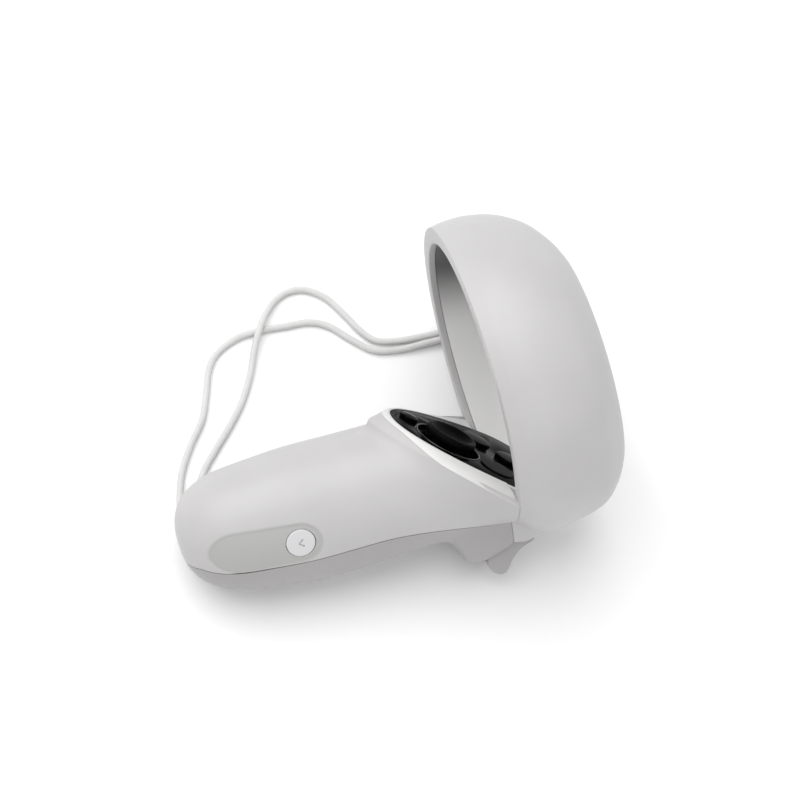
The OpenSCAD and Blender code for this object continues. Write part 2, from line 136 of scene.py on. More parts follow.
def surface(name, colour, shade=0.94, rough=(0.4, 0.5), metallic=0.0, grain=2500, depth=0.00001,
            cloud=45, coat=0.0, sheen=0.0, tint=None, mask=None, specular=0.5):
    """A procedural finish: clouded colour, uneven gloss and a fine moulded or brushed grain."""
    made = bpy.data.materials.new(name)
    made.use_nodes = True
    nodes, links = made.node_tree.nodes, made.node_tree.links
    shader = nodes["Principled BSDF"]
    shader.inputs["Metallic"].default_value = metallic
    shader.inputs["Coat Weight"].default_value = coat
    shader.inputs["Coat Roughness"].default_value = 0.08
    shader.inputs["Sheen Weight"].default_value = sheen
    shader.inputs["Specular IOR Level"].default_value = specular
    clouds = noise(nodes, links, cloud)
    mix = nodes.new("ShaderNodeMix")
    mix.data_type = "RGBA"
    mix.inputs["A"].default_value = (*[c * shade for c in colour], 1)
    mix.inputs["B"].default_value = (*colour, 1)
    links.new(spread(nodes, links, clouds.outputs["Fac"], 0, 1), mix.inputs["Factor"])
    shown = mix.outputs["Result"]
    if mask:
        marked = nodes.new("ShaderNodeAttribute")
        marked.attribute_name = mask
        over = nodes.new("ShaderNodeMix")
        over.data_type = "RGBA"
        over.inputs["B"].default_value = (*tint, 1)
        links.new(marked.outputs["Fac"], over.inputs["Factor"])
        links.new(shown, over.inputs["A"])
        shown = over.outputs["Result"]
    links.new(shown, shader.inputs["Base Color"])
    fine = noise(nodes, links, grain, 2)
    links.new(spread(nodes, links, fine.outputs["Fac"], *rough), shader.inputs["Roughness"])
    bump = nodes.new("ShaderNodeBump")
    bump.inputs["Distance"].default_value = depth
    bump.inputs["Strength"].default_value = 0.6
    links.new(fine.outputs["Fac"], bump.inputs["Height"])
    links.new(bump.outputs["Normal"], shader.inputs["Normal"])
    return made


def braid(name, colour, pitch, strands):
    """A round braided cord: two sets of strands that cross, from its along and around values."""
    made = surface(name, colour, rough=(0.75, 0.9), sheen=0.25, cloud=300)
    nodes, links = made.node_tree.nodes, made.node_tree.links
    shader = nodes["Principled BSDF"]
    along, around = (nodes.new("ShaderNodeAttribute") for _ in range(2))
    along.attribute_name, around.attribute_name = "along", "around"
    waves = []
    for way in (1, -1):
        phase = nodes.new("ShaderNodeMath")
        phase.operation = "MULTIPLY_ADD"
        phase.inputs[1].default_value = way * strands
        links.new(around.outputs["Fac"], phase.inputs[0])
        turns = nodes.new("ShaderNodeMath")
        turns.operation = "DIVIDE"
        turns.inputs[1].default_value = pitch / (2 * math.pi)
        links.new(along.outputs["Fac"], turns.inputs[0])
        links.new(turns.outputs["Value"], phase.inputs[2])
        wave = nodes.new("ShaderNodeMath")
        wave.operation = "SINE"
        links.new(phase.outputs["Value"], wave.inputs[0])
        waves.append(wave.outputs["Value"])
    crossed = nodes.new("ShaderNodeMath")
    crossed.operation = "MULTIPLY"
    links.new(waves[0], crossed.inputs[0])
    links.new(waves[1], crossed.inputs[1])
    bump = nodes.new("ShaderNodeBump")
    bump.inputs["Distance"].default_value = 0.00006
    bump.inputs["Strength"].default_value = 0.5
    links.new(crossed.outputs["Value"], bump.inputs["Height"])
    links.new(bump.outputs["Normal"], shader.inputs["Normal"])
    return made


SHELL = (0.505, 0.496, 0.497)
finishes = {
    "shell_white": surface("shell_white", SHELL, tint=(0.41, 0.41, 0.402), mask="recess"),
    # shell_grey: the cover's plastic made darker, painted shade for the lower shell, grip button and trigger,
    # which face down away from the light
    "shell_grey": surface("shell_grey", (0.37, 0.36, 0.363)),
    # Collar and lip: the shell's plastic made lighter, painted light where the collar bevel faces up into the
    # light
    "collar_painted_light": surface("collar_painted_light", (0.72, 0.715, 0.71), rough=(0.36, 0.44)),
    # Bore: a dark base colour as painted shade on its upper side, with the pale tint blended in by the light mask
    # as painted light towards the face
    "bore_white": surface("bore_white", (0.095, 0.093, 0.094), rough=(0.35, 0.45), grain=1500,
                          tint=(0.78, 0.775, 0.77), mask="light"),
    "face_black": surface("face_black", (0.0012, 0.0012, 0.0013), shade=0.7, rough=(0.12, 0.18),
                          depth=0.000002, specular=0.015),
    "gloss_black": surface("gloss_black", (0.0015, 0.0015, 0.0017), shade=0.7, rough=(0.1, 0.16),
                           depth=0.000002, specular=0.03),
    "soft_black": surface("soft_black", (0.0022, 0.0022, 0.0024), shade=0.8, rough=(0.35, 0.45),
                          depth=0.00001, specular=0.04),
    "flex_film": surface("flex_film", (0.45, 0.22, 0.04), shade=0.8, rough=(0.3, 0.4)),
    "emitter": surface("emitter", (0.06, 0.02, 0.09), shade=0.8, rough=(0.08, 0.14), coat=0.5),
    "chassis_black": surface("chassis_black", (0.03, 0.03, 0.032), shade=0.85),
    "board_green": surface("board_green", (0.01, 0.09, 0.03), shade=0.75, rough=(0.25, 0.4),
                           cloud=600, coat=0.3),
    "cell_wrap": surface("cell_wrap", (0.07, 0.17, 0.28), shade=0.85, rough=(0.2, 0.3), coat=0.3),
    "spring_steel": surface("spring_steel", (0.55, 0.55, 0.57), rough=(0.22, 0.34), metallic=1),
    "motor_steel": surface("motor_steel", (0.5, 0.5, 0.52), rough=(0.3, 0.45), metallic=1),
    "face_trim": surface("face_trim", (0.004, 0.004, 0.005), shade=0.7, rough=(0.1, 0.16),
                         depth=0.000002, specular=0.6),
    "disc_white": surface("disc_white", (0.64, 0.63, 0.64), rough=(0.35, 0.45)),
    "disc_mark": surface("disc_mark", (0.34, 0.34, 0.35), rough=(0.4, 0.5)),
    "screw_black": surface("screw_black", (0.05, 0.05, 0.055), rough=(0.3, 0.45), metallic=0.8),
    "cord_fabric": braid("cord_fabric", (0.66, 0.66, 0.655), 0.0024, 4),
    "lock_grey": surface("lock_grey", (0.52, 0.52, 0.53)),
}

for part in frame["record"]["subparts"]:
    held = frame["nodes"][part["node"]].data.materials
    held.clear()
    held.append(finishes[part["material_slot"]])

# ---------------------------------------------------------------- pieces


def add(name, points, faces, body, slot, finish=None, crease=35):
    """A piece from points in the row frame, in metres, riding on a body."""
    mesh = bpy.data.meshes.new(name)
    mesh.from_pydata(np.asarray(points).tolist(), [], [list(map(int, f)) for f in faces])
    mesh.validate()
    made = bpy.data.objects.new(name, mesh)
    bpy.context.scene.collection.objects.link(made)
    mesh.materials.append(finishes[finish or slot])
    tidy_normals(mesh, crease)
    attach(made, body)
    return made


def tidy_normals(mesh, crease):
    work = bmesh.new()
    work.from_mesh(mesh)
    bmesh.ops.recalc_face_normals(work, faces=work.faces)
    work.to_mesh(mesh)
    work.free()
    mesh.polygons.foreach_set("use_smooth", [True] * len(mesh.polygons))
    mesh.set_sharp_from_angle(angle=math.radians(crease))


def bake(piece, crease=35):
    """Applies a piece's modifiers to its mesh."""
    bpy.context.view_layer.update()
    seen = piece.evaluated_get(bpy.context.evaluated_depsgraph_get())
    mesh = bpy.data.meshes.new_from_object(seen)
    piece.modifiers.clear()
    piece.data = mesh
    mesh.set_sharp_from_angle(angle=math.radians(crease))


def cut(piece, *cutters, crease=35):
    """Takes the cutters' solids out of a piece, and removes them."""
    for cutter in cutters:
        taken = piece.modifiers.new("cut", "BOOLEAN")
        taken.object = cutter
        taken.solver = "MANIFOLD"
    bake(piece, crease)
    for cutter in cutters:
        bpy.data.objects.remove(cutter)


def thicken(piece, by):
    shell = piece.modifiers.new("shell", "SOLIDIFY")
    shell.thickness = by * MM
    shell.offset = -1
    bake(piece)


def soften(piece, width, segments=3, angle=40):
    """Rounds a piece's sharp edges."""
    eased = piece.modifiers.new("round", "BEVEL")
    eased.width = width * MM
    eased.segments = segments
    eased.limit_method = "ANGLE"
    eased.angle_limit = math.radians(angle)
    bake(piece)


def grid_faces(rows, columns, close_rows=False, close_columns=False):
    """Quads over a rows by columns grid of points."""
    faces = []
    for i in range(rows if close_rows else rows - 1):
        for j in range(columns if close_columns else columns - 1):
            a, b = i * columns, (i + 1) % rows * columns
            k = (j + 1) % columns
            faces.append((a + j, a + k, b + k, b + j))
    return faces


def prism(outline, low, high, place):
    """Points and faces of an outline of [u, v] between two heights; place() puts it in grip mm."""
    n = len(outline)
    points = place(np.array([[u, v, h] for h in (low, high) for u, v in outline]))
    faces = grid_faces(2, n, close_columns=True)
    return points, faces + [list(range(n)), list(range(n, 2 * n))]


def lathe(profile, place, sides=72, wobble=None):
    """A closed turned solid from a profile of [radius, height], first and last on the axis."""
    turn = np.arange(sides) * 2 * math.pi / sides
    rings = []
    for radius, height in profile:
        reach = radius * (1 + wobble(turn, radius)) if wobble else radius + 0 * turn
        rings.append(np.column_stack([reach * np.cos(turn), reach * np.sin(turn),
                                      0 * turn + height]))
    points = place(np.concatenate(rings))
    n = len(profile)
    faces = grid_faces(n, sides, close_columns=True)
    return points, faces + [list(range(sides)), list(range((n - 1) * sides, n * sides))]


def rounded(radius, low, high, edge, dome=0.0, steps=6):
    """Profile of a button: a flat foot, straight side, rounded edge and domed top."""
    bend = [math.radians(90 * k / steps) for k in range(steps + 1)]
    side = [[radius - edge + edge * math.cos(b), high - edge + edge * math.sin(b)] for b in bend]
    inner = radius - edge
    top = [[inner * q, high + dome * (1 - q * q)] for q in (0.8, 0.6, 0.4, 0.2, 0.02)]
    return [[0.02, low], [radius, low]] + side + top


# ---------------------------------------------------------------- wrist cord

CORD_D = 1.9
CORD_OUT = np.array([-56.8, -14.8, 5.9])
CORD_IN = np.array([-52.8, -14.1, 3.2])
CORD_WAY = np.array([0.05, 0.87, -0.49])
CORD_ROUTE = np.array([
    CORD_OUT - 4 * CORD_WAY, CORD_OUT, [-56.6, -10.6, 3.4], [-56.2, -6.4, 1.5], [-55.3, -2, 1],
    [-53.6, 4, 1], [-51.2, 9.8, 1], [-46.6, 16.8, 1], [-41.6, 23, 1], [-38.4, 30, 1],
    [-35.2, 37.6, 1], [-31, 42, 1], [-24, 44.8, 1], [-17, 45.2, 1], [-10, 44.8, 1],
    [-3.4, 44.4, 1], [2, 41.8, 1], [7, 36.4, 1], [12.6, 31.4, 1], [20, 29.8, 1.1],
    [28, 29.6, 1.9], [39, 29.6, 1.9], [49, 29.6, 1.6], [52.4, 28.2, 1.1], [56, 26.3, 1],
    [59.8, 28.5, 1], [59.8, 32.9, 1], [56, 35.1, 1], [52.4, 33.2, 1.1], [49, 31.8, 1.6],
    [39, 31.8, 1.9], [28, 31.8, 1.9], [20, 32.6, 1.1], [14, 34.2, 1], [10.4, 38.4, 1],
    [7.6, 44, 1], [3.4, 51, 1], [-2.6, 54.8, 1], [-9, 54.2, 1.1], [-14.6, 49.8, 2],
    [-18.6, 44.4, 3.1], [-21.4, 39.4, 2], [-24.6, 32.6, 1.1], [-29, 25.6, 1], [-34, 19.8, 1],
    [-40.4, 13.4, 1], [-45, 8.6, 1], [-49, 2.4, 1], [-51.6, -4, 1], [-52.4, -9, 1.2],
    CORD_IN, CORD_IN - 4 * CORD_WAY]) * MM


def smooth_path(route, step):
    """Points about a step apart on the smooth curve through a route."""
    ends = np.vstack([route[:1], route, route[-1:]])
    path = []
    for a, b, c, d in zip(ends, ends[1:], ends[2:], ends[3:]):
        count = max(2, round(np.linalg.norm(c - b) / step))
        for u in np.arange(count) / count:
            path.append(0.5 * (2 * b + (c - a) * u + (2 * a - 5 * b + 4 * c - d) * u * u
                               + (3 * b - a - 3 * c + d) * u ** 3))
    return np.vstack([path, route[-1:]])


def make_cord():
    path = smooth_path(CORD_ROUTE, 0.8 * MM)
    ahead = np.gradient(path, axis=0)
    ahead /= np.linalg.norm(ahead, axis=1)[:, None]
    side = np.cross(ahead, [0, 0, 1.0])
    side /= np.linalg.norm(side, axis=1)[:, None]
    up = np.cross(side, ahead)
    sides = 16
    turn = np.arange(sides) * 2 * math.pi / sides
    points = (path[:, None] + CORD_D / 2 * MM * (np.cos(turn)[None, :, None] * side[:, None]
                                                 + np.sin(turn)[None, :, None] * up[:, None]))
    n = len(path)
    faces = grid_faces(n, sides, close_columns=True)
    faces += [list(range(sides)), list(range((n - 1) * sides, n * sides))]
    made = add("wrist_cord", points.reshape(-1, 3), faces, ROOT, "cord_fabric")
    run = np.concatenate([[0], np.cumsum(np.linalg.norm(np.diff(path, axis=0), axis=1))])
    for name, values in (("along", np.repeat(run, sides)), ("around", np.tile(turn, n))):
        made.data.attributes.new(name, "FLOAT", "POINT").data.foreach_set("value", values)
    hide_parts("strap_cord")
    return made, path, float(run[-1])


wrist_cord, cord_path, cord_length = make_cord()

# ---------------------------------------------------------------- body shape

RING_R = 41.5
RING_RADII = [(0, RING_R), (4, 43.4), (10, 44.5), (17, 43.3), (22, 41.6), (26, 39.2), (30, 34.6),
              (32, 31)]
RING_DROP = [(0, 0), (4, -1.4), (10, -2.6), (17, -3), (22, -3.8), (26, -4.5), (30, -5), (32, -5.2)]
BORE_RADII = [(0, 37), (10, 36.4), (20, 33.8), (26, 31.2), (32, 29)]
SECTION_Z = [(-90, -23), (-72, -24), (-55, -25), (-40, -25.4), (-30, -25.3), (0, -25.3)]
SECTION_W = [(-90, 15), (-72, 16.2), (-55, 17.2), (-40, 17.2), (-30, 17.6), (0, 19)]
SECTION_H = [(-90, 16), (-72, 17), (-55, 18.8), (-40, 18.7), (-30, 18.2), (0, 18.2)]
SECTION_POWER = 2.15
HANDLE_L, BUTT_L, BUTT_POWER = 88.45, 20, 2.5
FLARE_L, FLARE_POWER = 27, 2.8
GUARD = [(-22, 0), (-17, 1.5), (-14, 7.5), (-12, 9.5), (-8.5, 9.8), (-5, 9.3), (0, 8), (4, 5.5),
         (8, 2.5), (12, 1), (16, 0), (40, 0)]
GUARD_FLAT, GUARD_FADE = 7.5, 5.5
FACE_TILT, FACE_H = math.radians(40), -19
BEVEL_TILT, BEVEL_H = math.radians(37), -21.3
BODY_END = -0.1
SEAM_GAP = 0.25
SHELL_WALL = 1.5


def smooth(t):
    t = np.clip(t, 0, 1)
    return t * t * (3 - 2 * t)


def curve(t, table):
    """Smooth curve through a table of [position, value]."""
    xs, ys = np.array(table, float).T
    slope = np.gradient(ys)
    slope[1:-1] = (ys[2:] - ys[:-2]) / (xs[2:] - xs[:-2])
    slope[0] = (ys[1] - ys[0]) / (xs[1] - xs[0])
    slope[-1] = (ys[-1] - ys[-2]) / (xs[-1] - xs[-2])
    t = np.clip(t, xs[0], xs[-1])
    i = np.clip(np.searchsorted(xs, t, side="right") - 1, 0, len(xs) - 2)
    h = xs[i + 1] - xs[i]
    u = (t - xs[i]) / h
    return ((2 * u ** 3 - 3 * u ** 2 + 1) * ys[i] + (u ** 3 - 2 * u ** 2 + u) * slope[i] * h
            + (3 * u ** 2 - 2 * u ** 3) * ys[i + 1] + (u ** 3 - u ** 2) * slope[i + 1] * h)


def body_reach(x, a):
    """How far the plain body reaches from its centre line at x, in direction a."""
    z = curve(x, SECTION_Z)
    into = np.maximum(0, (BUTT_L - HANDLE_L - x) / BUTT_L)
    butt = np.maximum(0, 1 - into ** BUTT_POWER) ** (1 / BUTT_POWER)
    w, h = curve(x, SECTION_W), curve(x, SECTION_H)
    round_part = (np.abs(np.cos(a)) / w) ** SECTION_POWER + (np.abs(np.sin(a)) / h) ** SECTION_POWER
    handle = butt / round_part ** (1 / SECTION_POWER)
    m = np.clip(1 + x / FLARE_L, 0, 1) ** FLARE_POWER
    s = z * np.sin(a)
    circle = -s + np.sqrt(np.maximum(0, s * s - z * z + RING_R ** 2))
    return (1 - m) * handle + m * circle


def outline(rear, wide, front, w, p, k, steps=60):
    """Outline from a blunt rear tip, widest at one place, to a rounded front, as [s, y]."""
    u = np.cos(np.linspace(0, math.pi / 2, steps + 1))
    rear_side = np.column_stack([wide - (wide - rear) * u, w * (1 - u ** p) ** k])
    v = np.sin(np.linspace(0, math.pi / 2, steps + 1))[1:]
    front_side = np.column_stack([wide + (front - wide) * v, w * np.sqrt(1 - v ** 2)])
    side = np.vstack([rear_side, front_side])
    return np.vstack([side, (side * [1, -1])[-2:0:-1]])


def face_place(points):
    """Face coordinates [s, y, h] to the grip frame."""
    s, y, h = np.asarray(points, float).T
    c, n = math.cos(FACE_TILT), math.sin(FACE_TILT)
    return np.column_stack([n * (FACE_H + h) + c * s, y, c * (FACE_H + h) - n * s])


def on_face(points):
    return row(face_place(points))


HUB = np.array([4.0, 0.0])
RIM = outline(-16.4, 20, 36.3, 20.9, 1.45, 0.45, 90)
FOOT = outline(-20.4, 20, 46, 31.2, 1, 0.75, 90)


def polar(points):
    """Distance of an outline from the hub, by direction."""
    d = points - HUB
    turn = np.arctan2(d[:, 1], d[:, 0])
    order = np.argsort(turn)
    return turn[order], np.hypot(d[:, 0], d[:, 1])[order]


RIM_POLAR, FOOT_POLAR = polar(RIM), polar(FOOT)


def hump(x, y, z):
    """Rough distance outside the raised collar: its flank and the plane of the face."""
    above = math.sin(FACE_TILT) * x + math.cos(FACE_TILT) * z - FACE_H
    above_bevel = math.sin(BEVEL_TILT) * x + math.cos(BEVEL_TILT) * z - BEVEL_H
    s = math.cos(FACE_TILT) * x - math.sin(FACE_TILT) * z
    turn = np.arctan2(y - HUB[1], s - HUB[0])
    rim = np.interp(turn, *RIM_POLAR, period=2 * math.pi)
    foot = np.interp(turn, *FOOT_POLAR, period=2 * math.pi)
    v = np.clip(-above / np.maximum(above_bevel - above, 0.5), 0, 1)
    edge = rim + (foot - rim) * v
    deep = np.maximum(0, -above_bevel)
    flank = (np.hypot(s - HUB[0], y - HUB[1]) - edge) * 0.8 + 0.45 * deep
    return np.maximum(flank, above)


def full_reach(x, a):
    """body_reach with the raised collar blended in, softly at its rear and tightly at its front."""
    base = body_reach(x, a)
    z0 = curve(x, SECTION_Z)
    blend = 1.2 + 3.2 * (1 - smooth((x + 26) / 13))
    low, high = base - 0.5, base + 9
    for _ in range(34):
        r = (low + high) / 2
        plain = r - base
        raised = hump(x, r * np.cos(a), z0 + r * np.sin(a))
        near = np.maximum(blend - np.abs(plain - raised), 0) / blend
        inside = np.minimum(plain, raised) - near ** 2 * blend / 4 < 0
        low, high = np.where(inside, r, low), np.where(inside, high, r)
    return low


def guarded(points):
    """Pushes points below the body down, to form the trigger guard."""
    x, y, z = points.T
    drop = curve(x, GUARD) * (1 - smooth((np.abs(y) - GUARD_FLAT) / GUARD_FADE))
    return points - np.column_stack([0 * x, 0 * x, np.where(z > -30, 0, drop)])


def seam_z(x):
    """Height of the seam between the palm cover and the lower shell."""
    a = -np.radians(23 + 15 * smooth((x + 38) / 38))
    return curve(x, SECTION_Z) + body_reach(np.maximum(x, 4 - HANDLE_L), a) * np.sin(a)


def split_z(x):
    """Where the palm cover ends below the collar, rising to the face's rim at the rear."""
    bevel = (BEVEL_H - math.sin(BEVEL_TILT) * x) / math.cos(BEVEL_TILT)
    rim = (FACE_H - 0.7 - math.sin(FACE_TILT) * x) / math.cos(FACE_TILT)
    return rim + (bevel - rim) * smooth((x + 24) / 9)


# Recess around the release disc: its two ends as [x, direction, radius]
DISC_X, DISC_A, DISC_R, DISC_GAP = -57.4, math.radians(182), 4.0, 0.13
RECESS_ENDS = np.array([[-57.4, 182.6, 5.9], [-75.2, 181.0, 6.7]])
RECESS_DEPTH, RECESS_EDGE = 0.4, 0.7
HANDLE_R = 17.2


def recess(x, a):
    """1 inside the recess, 0 outside, with a soft edge."""
    ends = RECESS_ENDS * [1, math.pi / 180 * HANDLE_R, 1]
    span = ends[1, :2] - ends[0, :2]
    d = np.stack([x - ends[0, 0], a * HANDLE_R - ends[0, 1]], -1)
    t = np.clip(d @ span / (span @ span), 0, 1)
    off = np.linalg.norm(d - t[..., None] * span, axis=-1)
    return smooth((ends[0, 2] + t * (ends[1, 2] - ends[0, 2]) - off) / RECESS_EDGE + 0.5)


def body_surface():
    """The body's outer surface, open at the ring, as points, quads and the recess's mask."""
    ends = -HANDLE_L + BUTT_L * (1 - np.cos(np.radians(np.linspace(1.2, 90, 70))))
    rest = np.linspace(BUTT_L - HANDLE_L, BODY_END, 190)[1:]
    stations = np.concatenate([ends, rest])
    turn = np.radians(np.arange(300) * 1.2)
    x, a = np.meshgrid(stations, turn, indexing="ij")
    inside = recess(x, a)
    r = np.where(np.sin(a) > 0.05, full_reach(x, a), body_reach(x, a)) - RECESS_DEPTH * inside
    z = curve(x, SECTION_Z) + r * np.sin(a)
    points = guarded(np.column_stack([x.ravel(), (r * np.cos(a)).ravel(), z.ravel()]))
    faces = grid_faces(*x.shape, close_columns=True)
    pole = [[-HANDLE_L, 0, float(curve(-HANDLE_L, SECTION_Z))]]
    n = len(turn)
    faces += [((k + 1) % n, k, len(points)) for k in range(n)]
    return np.vstack([points, pole]), faces, np.append(inside.ravel(), 0)


def keep_side(work, height, above):
    """Cuts a bmesh in the grip frame along a curve z = height(x), and keeps one side."""
    at = np.array([v.co for v in work.verts])
    level = height(at[:, 0])
    for v, z in zip(work.verts, level):
        v.co.z -= z
    everything = work.verts[:] + work.edges[:] + work.faces[:]
    bmesh.ops.bisect_plane(work, geom=everything, plane_co=(0, 0, 0), plane_no=(0, 0, 1),
                           clear_inner=above, clear_outer=not above, dist=0.004)
    at = np.array([v.co for v in work.verts])
    level = height(at[:, 0])
    for v, z in zip(work.verts, level):
        v.co.z += z


def body_part(name, cuts, slot, body):
    """A piece of the body's surface, cut along curves of [height(x), keep above]."""
    points, faces, mask = SURFACE
    mesh = bpy.data.meshes.new(name)
    mesh.from_pydata(points.tolist(), [], faces)
    mesh.attributes.new("recess", "FLOAT", "POINT").data.foreach_set("value", mask)
    work = bmesh.new()
    work.from_mesh(mesh)
    for height, above in cuts:
        keep_side(work, height, above)
    bmesh.ops.remove_doubles(work, verts=work.verts, dist=0.02)
    bmesh.ops.recalc_face_normals(work, faces=work.faces)
    out = max(work.faces, key=lambda f: abs(f.normal.y))
    if out.normal.y * out.calc_center_median().y < 0:
        bmesh.ops.reverse_faces(work, faces=work.faces)
    rims = [[v.co.copy() for v in e.verts] for e in work.edges if e.is_boundary]
    work.transform(Matrix(np.vstack([np.column_stack([GRIP_AXES * MM, ORIGIN]),
                                     [0, 0, 0, 1]]).tolist()))
    work.to_mesh(mesh)
    work.free()
    mesh.polygons.foreach_set("use_smooth", [True] * len(mesh.polygons))
    mesh.materials.append(finishes[slot])
    made = bpy.data.objects.new(name, mesh)
    bpy.context.scene.collection.objects.link(made)
    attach(made, body)
    return made, rims


SURFACE = body_surface()

cover, cover_rims = body_part(
    "palm_cover_shell",
    [(lambda x: seam_z(x) + SEAM_GAP / 2, True), (lambda x: split_z(x) - 0.06, False)],
    "shell_white", "cover")
thicken(cover, SHELL_WALL)
# Painted shade: the lower shell takes the darker shell_grey finish
lower, _ = body_part("lower_handle_shell", [(lambda x: seam_z(x) - SEAM_GAP / 2, False)],
                     "shell_grey", ROOT)
thicken(lower, SHELL_WALL)


def cutter(points, faces):
    mesh = bpy.data.meshes.new("cutter")
    mesh.from_pydata(np.asarray(points).tolist(), [], [list(map(int, f)) for f in faces])
    tidy_normals(mesh, 35)
    made = bpy.data.objects.new("cutter", mesh)
    bpy.context.scene.collection.objects.link(made)
    return made


def wall_place(x, a):
    """Places [u, v, h] on the handle's wall at x, in direction a: u along, v around, h out."""
    out = np.array([0, math.cos(a), math.sin(a)])
    around = np.cross(out, [1, 0, 0])
    base = np.array([x, 0, float(curve(x, SECTION_Z))]) + out * float(body_reach(x, a))
    frame_of = np.column_stack([[1, 0, 0], around, out])
    return lambda points: row(np.asarray(points) @ frame_of.T + base)


disc_at = wall_place(DISC_X, DISC_A)
DISC_HOLE = [[0.01, -6], [DISC_R + DISC_GAP, -6], [DISC_R + DISC_GAP, 3], [0.01, 3]]
cut(cover, cutter(*lathe(DISC_HOLE, disc_at, 96)))
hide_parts("palm_cover")

disc = add("release_disc_cap", *lathe(rounded(DISC_R - 0.05, -2.9, -0.32, 0.25, 0.12), disc_at, 96),
           "disc", "disc_white")
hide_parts("release_disc")


def stroke(points, width):
    """A flat stroke of one width along a line of [u, v], as an outline."""
    points = np.array(points, float)
    way = np.gradient(points, axis=0)
    way /= np.linalg.norm(way, axis=1)[:, None]
    side = np.column_stack([-way[:, 1], way[:, 0]]) * width / 2
    return np.vstack([points + side, (points - side)[::-1]])


add("release_disc_chevron",
    *prism(stroke([[0.75, -1.05], [-0.55, 0], [0.75, 1.05]], 0.42), -0.4, -0.15, disc_at),
    "disc", "disc_white", "disc_mark")

# ---------------------------------------------------------------- collar and face


def collar_line():
    """The palm cover's top edge in order, from one end at the ring round the rear to the other."""
    ends = np.array([v for edge in cover_rims for v in edge])
    high = ends[np.abs(ends[:, 2] + 0.06 - split_z(ends[:, 0])) < 0.05]
    high = high[np.lexsort((high[:, 1], high[:, 0]))]
    left, right = high[high[:, 1] > 0], high[high[:, 1] <= 0]
    line = np.vstack([left[::-1], right])
    keep = np.append(True, np.linalg.norm(np.diff(line, axis=0), axis=1) > 0.05)
    return line[keep]


def resample(line, count):
    run = np.append(0, np.cumsum(np.linalg.norm(np.diff(line, axis=0), axis=1)))
    at = np.linspace(0, run[-1], count)
    return np.column_stack([np.interp(at, run, line[:, k]) for k in range(3)])


PLATE = outline(-15.2, 20, 35.2, 20, 1.45, 0.45, 90)
COLLAR_STEPS = 220


def behind_ring(points, h):
    """The part of a face outline behind the ring, from the +Y end round the rear to the -Y end."""
    placed = face_place(np.column_stack([points, 0 * points[:, 0] + h]))
    kept = placed[placed[:, 0] < BODY_END]
    left, right = kept[kept[:, 1] >= 0], kept[kept[:, 1] < 0]
    return resample(np.vstack([left[np.argsort(-left[:, 0])], right[np.argsort(right[:, 0])]]),
                    COLLAR_STEPS)


def make_collar():
    foot = resample(collar_line(), COLLAR_STEPS) + [0, 0, 0.1]
    rim = behind_ring(outline(-16.1, 20, 36, 20.75, 1.45, 0.45, 90), -0.05)
    top = behind_ring(PLATE, 0.06)
    down = behind_ring(PLATE, -2.2)
    centre = face_place([[6, 0, 0]])[0]
    hidden = foot + (centre - foot) * (1.6 / np.linalg.norm(centre - foot, axis=1))[:, None]
    rows = [hidden - [0, 0, 1.2], foot]
    lift = np.array([math.sin(FACE_TILT), 0, math.cos(FACE_TILT)])
    for v in np.linspace(0, 1, 9)[1:]:
        bulge = 0.25 * math.sin(math.pi * v) * np.linalg.norm(rim - foot, axis=1) / 6
        rows.append(foot + (rim - foot) * v + lift * bulge[:, None])
    rows += [(rim + top) / 2 + lift * 0.09, top, down]
    points = row(np.stack(rows, axis=1).reshape(-1, 3))
    n = len(rows)
    faces = grid_faces(COLLAR_STEPS, n, close_columns=True)
    faces += [list(range(n)), list(range((COLLAR_STEPS - 1) * n, COLLAR_STEPS * n))]
    # Painted light: the bevel takes the lighter collar finish
    return add("face_collar_bevel", points, faces, ROOT, "shell_white", "collar_painted_light", 40)


collar = make_collar()
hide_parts("face_collar")


def make_lip():
    """The collar's thin lip round the plate, which runs on inside the ring."""
    outer, inner = outline(-15.8, 20, 35.8, 20.6, 1.45, 0.45, 90), PLATE
    rows = [np.column_stack([o, 0 * o[:, 0] + h]) for o, h in (
        (outer, -2.4), (outer, -0.5), ((outer + inner) / 2, -0.2), (inner, -0.1), (inner, -2.4))]
    n, count = len(rows), len(outer)
    points = on_face(np.stack(rows, axis=1).reshape(-1, 3))
    # Painted light: the lip takes the lighter collar finish
    return add("face_collar_lip", points, grid_faces(count, n, True, True), ROOT, "shell_white",
               "collar_painted_light", 40)


make_lip()

STICK_AT, BUTTON_A_AT, BUTTON_B_AT, MENU_AT = (2, -3), (14, 9), (23, 2.5), (-8.5, 4.5)
REST_AT = (15.6, -9.8)
WELL_R = 9.6
BUTTON_R, MENU_R, KEY_GAP = 4.2, 2.6, 0.2


def at_face(at):
    return lambda points: on_face(np.asarray(points) + [*at, 0])


def hole(at, radius):
    return cutter(*lathe([[0.01, -5], [radius, -5], [radius, 5], [0.01, 5]], at_face(at), 96))


plate = add("face_plate_gloss",
            *prism(outline(-15.1, 20, 35.1, 19.9, 1.45, 0.45, 90), -1.6, 0, on_face),
            ROOT, "face_black", crease=30)
cut(plate, hole(STICK_AT, WELL_R), hole(BUTTON_A_AT, BUTTON_R + KEY_GAP),
    hole(BUTTON_B_AT, BUTTON_R + KEY_GAP), hole(MENU_AT, MENU_R + KEY_GAP), crease=30)
soften(plate, 0.3)
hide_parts("face_plate")


